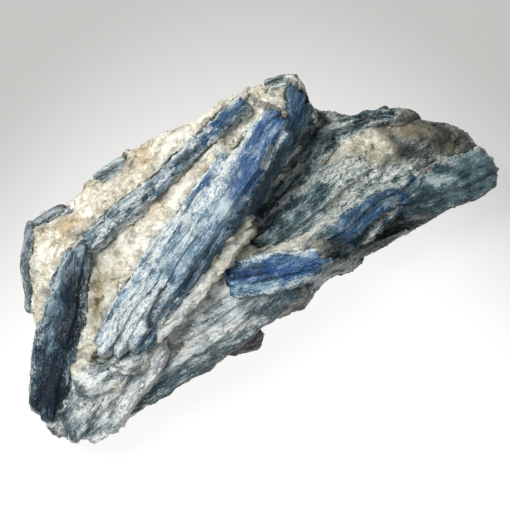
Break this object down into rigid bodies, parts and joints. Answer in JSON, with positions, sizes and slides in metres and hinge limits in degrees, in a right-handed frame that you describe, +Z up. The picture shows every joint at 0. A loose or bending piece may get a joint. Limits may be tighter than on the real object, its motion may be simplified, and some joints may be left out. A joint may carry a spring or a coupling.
{
  "type": "kyanite blade cluster",
  "caption": "Blue kyanite blades grown through a block of cream-white quartz, a loose hand specimen lying flat.",
  "frame": {"origin": "on the surface the specimen lies on, under the middle of its bounding box", "axes": "+Z up; +X along the longest side, towards the blunt blade end; -Z is the outward normal of the flat resting face"},
  "size_m": [0.113, 0.0818, 0.0339],
  "materials": {
    "quartz_matrix": "cream-white granular quartz with tan iron stain",
    "central_blades": "cobalt to grey-blue kyanite, pearly cleavage, white quartz coat",
    "shoulder_blade": "dark teal kyanite, blue at the head",
    "upper_left_blade": "slate-blue kyanite with white streaks",
    "left_blade": "dark navy kyanite, splintery",
    "left_rim_blades": "grey-teal kyanite, thin laths",
    "small_top_blade": "grey-teal kyanite",
    "crown_blade": "dark teal kyanite",
    "lower_blades": "grey-blue kyanite mixed with white quartz",
    "cobalt_blade": "deep cobalt to violet-blue kyanite",
    "right_blades": "teal-grey kyanite laths with cobalt patches and quartz crust",
    "under_blade": "dark green-brown kyanite"
  },
  "bodies": {
    "root": {"quartz_matrix": "quartz_matrix", "central_blades": "central_blades", "shoulder_blade": "shoulder_blade", "upper_left_blade": "upper_left_blade", "left_blade": "left_blade", "left_rim_blades": "left_rim_blades", "small_top_blade": "small_top_blade", "crown_blade": "crown_blade", "lower_blades": "lower_blades", "cobalt_blade": "cobalt_blade", "right_blades": "right_blades", "under_blade": "under_blade"}
  },
  "joints": []
}
